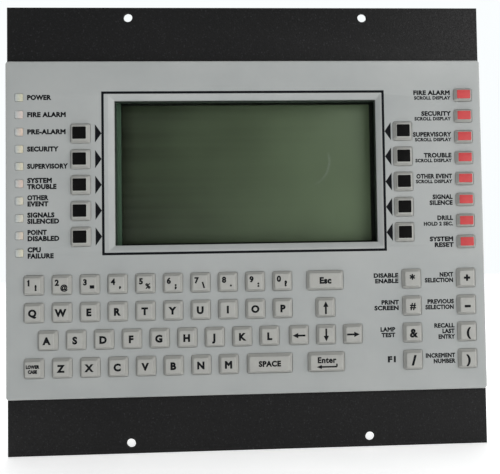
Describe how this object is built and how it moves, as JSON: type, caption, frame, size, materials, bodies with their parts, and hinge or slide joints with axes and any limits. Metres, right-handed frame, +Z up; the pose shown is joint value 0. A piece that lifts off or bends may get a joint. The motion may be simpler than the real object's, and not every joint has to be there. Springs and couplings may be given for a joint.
{
  "type": "fire alarm control panel",
  "caption": "Operator panel of a fire alarm control panel: steel plate, grey fascia with a recessed display, lamp windows, and letter, digit, soft and red function keys that press in.",
  "frame": {"origin": "centre of the bounding box of the whole panel", "axes": "+X to the right as seen from the front, +Y to the rear, +Z up; the keys and display face -Y"},
  "size_m": [0.2424, 0.0446, 0.2266],
  "materials": {
    "black_powder_coat": "fine-textured black powder coat on steel",
    "fascia_grey": "satin light grey moulding with black print",
    "key_grey": "matt light grey moulded keys",
    "key_red": "matt red moulded keys",
    "shroud_grey": "dark grey-green moulding",
    "clear_pane": "clear acrylic sheet",
    "lamp_lens": "milky translucent light pipe",
    "black_steel": "smooth black paint on pressed steel",
    "lcd_glass": "unlit grey-green display glass",
    "light_guide": "white light guide",
    "board_green": "green solder mask on glass-fibre board",
    "mat_rubber": "grey silicone rubber sheet",
    "zinc_steel": "bright zinc-plated sheet steel",
    "pillar_steel": "plated steel pillar and screw",
    "terminal_green": "green moulded terminal block",
    "black_plastic": "black moulding",
    "ribbon_grey": "grey flat ribbon cable"
  },
  "bodies": {
    "panel": {"chassis": "black_powder_coat", "fascia": "fascia_grey", "display_shroud": "shroud_grey", "display_window": "clear_pane", "lcd_frame": "black_steel", "lcd_glass": "lcd_glass", "lcd_backlight": "light_guide", "lcd_circuit_board": "board_green", "keypad_mat": "mat_rubber", "keypad_circuit_board": "board_green", "lamp_lens_strip": "lamp_lens", "board_tray": "zinc_steel", "main_circuit_board": "board_green", "board_pillar_1": "pillar_steel", "board_pillar_2": "pillar_steel", "board_pillar_3": "pillar_steel", "board_pillar_4": "pillar_steel", "terminal_block_power": "terminal_green", "terminal_block_network": "terminal_green", "sounder": "black_plastic", "ribbon_header": "black_plastic", "ribbon_cable": "ribbon_grey"},
    "key_row_digits": {"key_row_digits": "key_grey"},
    "key_row_q": {"key_row_q": "key_grey"},
    "key_row_a": {"key_row_a": "key_grey"},
    "key_row_z": {"key_row_z": "key_grey"},
    "key_escape": {"key_escape": "key_grey"},
    "key_up": {"key_up": "key_grey"},
    "key_left": {"key_left": "key_grey"},
    "key_down": {"key_down": "key_grey"},
    "key_right": {"key_right": "key_grey"},
    "key_lower_case": {"key_lower_case": "key_grey"},
    "key_space": {"key_space": "key_grey"},
    "key_enter": {"key_enter": "key_grey"},
    "pad_key_disable_enable": {"pad_key_disable_enable": "key_grey"},
    "pad_key_next_selection": {"pad_key_next_selection": "key_grey"},
    "pad_key_print_screen": {"pad_key_print_screen": "key_grey"},
    "pad_key_previous_selection": {"pad_key_previous_selection": "key_grey"},
    "pad_key_lamp_test": {"pad_key_lamp_test": "key_grey"},
    "pad_key_recall_last_entry": {"pad_key_recall_last_entry": "key_grey"},
    "pad_key_f1": {"pad_key_f1": "key_grey"},
    "pad_key_increment_number": {"pad_key_increment_number": "key_grey"},
    "soft_key_left_1": {"soft_key_left_1": "key_grey"},
    "soft_key_left_2": {"soft_key_left_2": "key_grey"},
    "soft_key_left_3": {"soft_key_left_3": "key_grey"},
    "soft_key_left_4": {"soft_key_left_4": "key_grey"},
    "soft_key_left_5": {"soft_key_left_5": "key_grey"},
    "soft_key_right_1": {"soft_key_right_1": "key_grey"},
    "soft_key_right_2": {"soft_key_right_2": "key_grey"},
    "soft_key_right_3": {"soft_key_right_3": "key_grey"},
    "soft_key_right_4": {"soft_key_right_4": "key_grey"},
    "soft_key_right_5": {"soft_key_right_5": "key_grey"},
    "red_key_fire_alarm": {"red_key_fire_alarm": "key_red"},
    "red_key_security": {"red_key_security": "key_red"},
    "red_key_supervisory": {"red_key_supervisory": "key_red"},
    "red_key_trouble": {"red_key_trouble": "key_red"},
    "red_key_other_event": {"red_key_other_event": "key_red"},
    "red_key_signal_silence": {"red_key_signal_silence": "key_red"},
    "red_key_drill": {"red_key_drill": "key_red"},
    "red_key_system_reset": {"red_key_system_reset": "key_red"}
  },
  "joints": [
    {"name": "key_row_digits_press", "type": "slide", "parent": "panel", "child": "key_row_digits", "axis": [0, 1, 0], "range_m": [0, 0.0012], "stiffness_N_per_m": 2500},
    {"name": "key_row_q_press", "type": "slide", "parent": "panel", "child": "key_row_q", "axis": [0, 1, 0], "range_m": [0, 0.0012], "stiffness_N_per_m": 2500},
    {"name": "key_row_a_press", "type": "slide", "parent": "panel", "child": "key_row_a", "axis": [0, 1, 0], "range_m": [0, 0.0012], "stiffness_N_per_m": 2500},
    {"name": "key_row_z_press", "type": "slide", "parent": "panel", "child": "key_row_z", "axis": [0, 1, 0], "range_m": [0, 0.0012], "stiffness_N_per_m": 2500},
    {"name": "key_escape_press", "type": "slide", "parent": "panel", "child": "key_escape", "axis": [0, 1, 0], "range_m": [0, 0.0012], "stiffness_N_per_m": 800},
    {"name": "key_up_press", "type": "slide", "parent": "panel", "child": "key_up", "axis": [0, 1, 0], "range_m": [0, 0.0012], "stiffness_N_per_m": 800},
    {"name": "key_left_press", "type": "slide", "parent": "panel", "child": "key_left", "axis": [0, 1, 0], "range_m": [0, 0.0012], "stiffness_N_per_m": 800},
    {"name": "key_down_press", "type": "slide", "parent": "panel", "child": "key_down", "axis": [0, 1, 0], "range_m": [0, 0.0012], "stiffness_N_per_m": 800},
    {"name": "key_right_press", "type": "slide", "parent": "panel", "child": "key_right", "axis": [0, 1, 0], "range_m": [0, 0.0012], "stiffness_N_per_m": 800},
    {"name": "key_lower_case_press", "type": "slide", "parent": "panel", "child": "key_lower_case", "axis": [0, 1, 0], "range_m": [0, 0.0012], "stiffness_N_per_m": 800},
    {"name": "key_space_press", "type": "slide", "parent": "panel", "child": "key_space", "axis": [0, 1, 0], "range_m": [0, 0.0012], "stiffness_N_per_m": 800},
    {"name": "key_enter_press", "type": "slide", "parent": "panel", "child": "key_enter", "axis": [0, 1, 0], "range_m": [0, 0.0012], "stiffness_N_per_m": 800},
    {"name": "pad_key_disable_enable_press", "type": "slide", "parent": "panel", "child": "pad_key_disable_enable", "axis": [0, 1, 0], "range_m": [0, 0.0012], "stiffness_N_per_m": 800},
    {"name": "pad_key_next_selection_press", "type": "slide", "parent": "panel", "child": "pad_key_next_selection", "axis": [0, 1, 0], "range_m": [0, 0.0012], "stiffness_N_per_m": 800},
    {"name": "pad_key_print_screen_press", "type": "slide", "parent": "panel", "child": "pad_key_print_screen", "axis": [0, 1, 0], "range_m": [0, 0.0012], "stiffness_N_per_m": 800},
    {"name": "pad_key_previous_selection_press", "type": "slide", "parent": "panel", "child": "pad_key_previous_selection", "axis": [0, 1, 0], "range_m": [0, 0.0012], "stiffness_N_per_m": 800},
    {"name": "pad_key_lamp_test_press", "type": "slide", "parent": "panel", "child": "pad_key_lamp_test", "axis": [0, 1, 0], "range_m": [0, 0.0012], "stiffness_N_per_m": 800},
    {"name": "pad_key_recall_last_entry_press", "type": "slide", "parent": "panel", "child": "pad_key_recall_last_entry", "axis": [0, 1, 0], "range_m": [0, 0.0012], "stiffness_N_per_m": 800},
    {"name": "pad_key_f1_press", "type": "slide", "parent": "panel", "child": "pad_key_f1", "axis": [0, 1, 0], "range_m": [0, 0.0012], "stiffness_N_per_m": 800},
    {"name": "pad_key_increment_number_press", "type": "slide", "parent": "panel", "child": "pad_key_increment_number", "axis": [0, 1, 0], "range_m": [0, 0.0012], "stiffness_N_per_m": 800},
    {"name": "soft_key_left_1_press", "type": "slide", "parent": "panel", "child": "soft_key_left_1", "axis": [0, 1, 0], "range_m": [0, 0.0012], "stiffness_N_per_m": 800},
    {"name": "soft_key_left_2_press", "type": "slide", "parent": "panel", "child": "soft_key_left_2", "axis": [0, 1, 0], "range_m": [0, 0.0012], "stiffness_N_per_m": 800},
    {"name": "soft_key_left_3_press", "type": "slide", "parent": "panel", "child": "soft_key_left_3", "axis": [0, 1, 0], "range_m": [0, 0.0012], "stiffness_N_per_m": 800},
    {"name": "soft_key_left_4_press", "type": "slide", "parent": "panel", "child": "soft_key_left_4", "axis": [0, 1, 0], "range_m": [0, 0.0012], "stiffness_N_per_m": 800},
    {"name": "soft_key_left_5_press", "type": "slide", "parent": "panel", "child": "soft_key_left_5", "axis": [0, 1, 0], "range_m": [0, 0.0012], "stiffness_N_per_m": 800},
    {"name": "soft_key_right_1_press", "type": "slide", "parent": "panel", "child": "soft_key_right_1", "axis": [0, 1, 0], "range_m": [0, 0.0012], "stiffness_N_per_m": 800},
    {"name": "soft_key_right_2_press", "type": "slide", "parent": "panel", "child": "soft_key_right_2", "axis": [0, 1, 0], "range_m": [0, 0.0012], "stiffness_N_per_m": 800},
    {"name": "soft_key_right_3_press", "type": "slide", "parent": "panel", "child": "soft_key_right_3", "axis": [0, 1, 0], "range_m": [0, 0.0012], "stiffness_N_per_m": 800},
    {"name": "soft_key_right_4_press", "type": "slide", "parent": "panel", "child": "soft_key_right_4", "axis": [0, 1, 0], "range_m": [0, 0.0012], "stiffness_N_per_m": 800},
    {"name": "soft_key_right_5_press", "type": "slide", "parent": "panel", "child": "soft_key_right_5", "axis": [0, 1, 0], "range_m": [0, 0.0012], "stiffness_N_per_m": 800},
    {"name": "red_key_fire_alarm_press", "type": "slide", "parent": "panel", "child": "red_key_fire_alarm", "axis": [0, 1, 0], "range_m": [0, 0.0012], "stiffness_N_per_m": 800},
    {"name": "red_key_security_press", "type": "slide", "parent": "panel", "child": "red_key_security", "axis": [0, 1, 0], "range_m": [0, 0.0012], "stiffness_N_per_m": 800},
    {"name": "red_key_supervisory_press", "type": "slide", "parent": "panel", "child": "red_key_supervisory", "axis": [0, 1, 0], "range_m": [0, 0.0012], "stiffness_N_per_m": 800},
    {"name": "red_key_trouble_press", "type": "slide", "parent": "panel", "child": "red_key_trouble", "axis": [0, 1, 0], "range_m": [0, 0.0012], "stiffness_N_per_m": 800},
    {"name": "red_key_other_event_press", "type": "slide", "parent": "panel", "child": "red_key_other_event", "axis": [0, 1, 0], "range_m": [0, 0.0012], "stiffness_N_per_m": 800},
    {"name": "red_key_signal_silence_press", "type": "slide", "parent": "panel", "child": "red_key_signal_silence", "axis": [0, 1, 0], "range_m": [0, 0.0012], "stiffness_N_per_m": 800},
    {"name": "red_key_drill_press", "type": "slide", "parent": "panel", "child": "red_key_drill", "axis": [0, 1, 0], "range_m": [0, 0.0012], "stiffness_N_per_m": 800},
    {"name": "red_key_system_reset_press", "type": "slide", "parent": "panel", "child": "red_key_system_reset", "axis": [0, 1, 0], "range_m": [0, 0.0012], "stiffness_N_per_m": 800}
  ]
}
